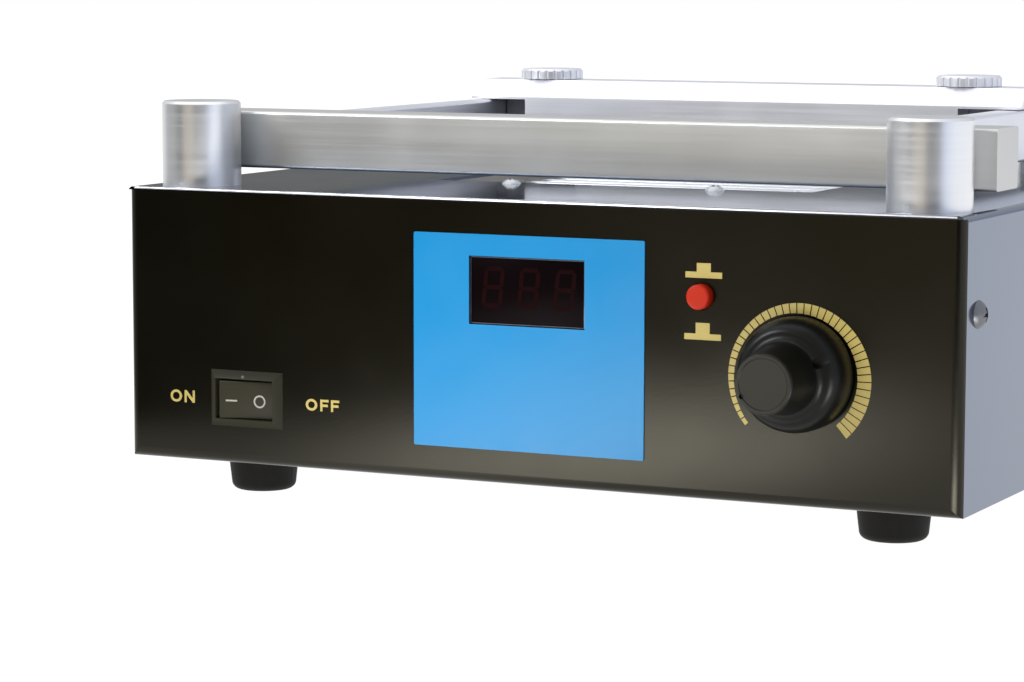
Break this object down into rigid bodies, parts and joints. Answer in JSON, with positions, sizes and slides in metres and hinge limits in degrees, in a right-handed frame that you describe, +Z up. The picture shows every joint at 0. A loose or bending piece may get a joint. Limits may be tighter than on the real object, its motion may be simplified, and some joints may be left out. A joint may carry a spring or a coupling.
{
  "type": "pcb preheater",
  "caption": "Bench PCB preheating station: sheet-metal case with an infrared heater window, an adjustable board holder of aluminium bars, a display, a rocker switch, a button and a dial.",
  "frame": {"origin": "middle of the case's footprint, on the surface under the feet", "axes": "+X to the right seen from the front, -Y out of the front panel, +Z up"},
  "size_m": [0.268, 0.2325, 0.1253],
  "materials": {
    "base_chassis": "semi-gloss black powder coat",
    "top_cover": "polished sheet",
    "cover_screws": "bright zinc plate",
    "rubber_feet": "matt moulded",
    "foot_screws": "zinc plate",
    "hex_nuts": "zinc plate",
    "post_left": "satin anodised",
    "post_right": "satin anodised",
    "post_screws": "zinc plate",
    "front_bar": "satin anodised",
    "bar_screws": "black oxide",
    "rail_left": "satin anodised",
    "rail_right": "satin anodised",
    "rail_dowels": "ground",
    "rail_spacers": "turned",
    "rail_screws": "black oxide",
    "slider_bar": "satin anodised",
    "jaw_left": "milled",
    "jaw_right": "milled",
    "lock_knob_left": "satin, grooved edge",
    "lock_knob_right": "satin, grooved edge",
    "heater_tray": "bright reflector sheet",
    "tray_screws": "bright zinc plate",
    "insulating_pad": "mineral fibre",
    "heater_emitters": "matt fired",
    "guard_rods": "drawn wire",
    "temperature_probe": "drawn tube",
    "panel_label": "printed film",
    "display_window": "smoked red acrylic",
    "led_display": "moulded",
    "control_board": "solder resist",
    "board_standoffs": "turned",
    "switch_housing": "moulded",
    "switch_terminals": "stamped",
    "switch_rocker": "moulded",
    "button_body": "moulded",
    "button_cap": "moulded",
    "pot_body": "pressed can",
    "pot_nut": "nickel plate",
    "pot_shaft": "turned",
    "control_knob": "moulded",
    "knob_set_screw": "black oxide",
    "mains_inlet": "moulded",
    "inlet_pins": "nickel plate",
    "inlet_screws": "zinc plate",
    "transformer": "varnished laminations and winding",
    "transformer_frame": "zinc plate",
    "triac_heatsink": "extruded",
    "power_triac": "moulded",
    "terminal_block": "moulded",
    "floor_screws": "zinc plate"
  },
  "bodies": {
    "housing": {"base_chassis": "base_chassis", "top_cover": "top_cover", "cover_screws": "cover_screws", "rubber_feet": "rubber_feet", "foot_screws": "foot_screws", "hex_nuts": "hex_nuts", "post_left": "post_left", "post_right": "post_right", "post_screws": "post_screws", "front_bar": "front_bar", "bar_screws": "bar_screws", "rail_left": "rail_left", "rail_right": "rail_right", "rail_dowels": "rail_dowels", "rail_spacers": "rail_spacers", "rail_screws": "rail_screws", "heater_tray": "heater_tray", "tray_screws": "tray_screws", "insulating_pad": "insulating_pad", "heater_emitters": "heater_emitters", "guard_rods": "guard_rods", "temperature_probe": "temperature_probe", "panel_label": "panel_label", "display_window": "display_window", "led_display": "led_display", "control_board": "control_board", "board_standoffs": "board_standoffs", "switch_housing": "switch_housing", "switch_terminals": "switch_terminals", "button_body": "button_body", "pot_body": "pot_body", "pot_nut": "pot_nut", "mains_inlet": "mains_inlet", "inlet_pins": "inlet_pins", "inlet_screws": "inlet_screws", "transformer": "transformer", "transformer_frame": "transformer_frame", "triac_heatsink": "triac_heatsink", "power_triac": "power_triac", "terminal_block": "terminal_block", "floor_screws": "floor_screws"},
    "rocker": {"switch_rocker": "switch_rocker"},
    "button": {"button_cap": "button_cap"},
    "knob": {"control_knob": "control_knob", "pot_shaft": "pot_shaft", "knob_set_screw": "knob_set_screw"},
    "slider": {"slider_bar": "slider_bar", "jaw_left": "jaw_left", "jaw_right": "jaw_right"},
    "lock_left": {"lock_knob_left": "lock_knob_left"},
    "lock_right": {"lock_knob_right": "lock_knob_right"}
  },
  "joints": [
    {"name": "rocker_tip", "type": "hinge", "parent": "housing", "child": "rocker", "pos_m": [-0.0905, -0.09705, 0.0317], "axis": [0, 0, 1], "range_deg": [-16, 0]},
    {"name": "button_press", "type": "slide", "parent": "housing", "child": "button", "axis": [0, 1, 0], "range_m": [0, 0.0022], "stiffness_N_per_m": 600},
    {"name": "knob_turn", "type": "hinge", "parent": "housing", "child": "knob", "pos_m": [0.0848, -0.11, 0.0492], "axis": [0, 1, 0], "range_deg": [0, 270]},
    {"name": "slider_travel", "type": "slide", "parent": "housing", "child": "slider", "axis": [0, 1, 0], "range_m": [-0.105, 0.004]},
    {"name": "lock_left_turn", "type": "hinge", "parent": "slider", "child": "lock_left", "pos_m": [-0.074, 0.0771, 0.123], "axis": [0, 0, 1], "range_deg": [0, 180]},
    {"name": "lock_right_turn", "type": "hinge", "parent": "slider", "child": "lock_right", "pos_m": [0.074, 0.0771, 0.123], "axis": [0, 0, 1], "range_deg": [0, 180]}
  ]
}
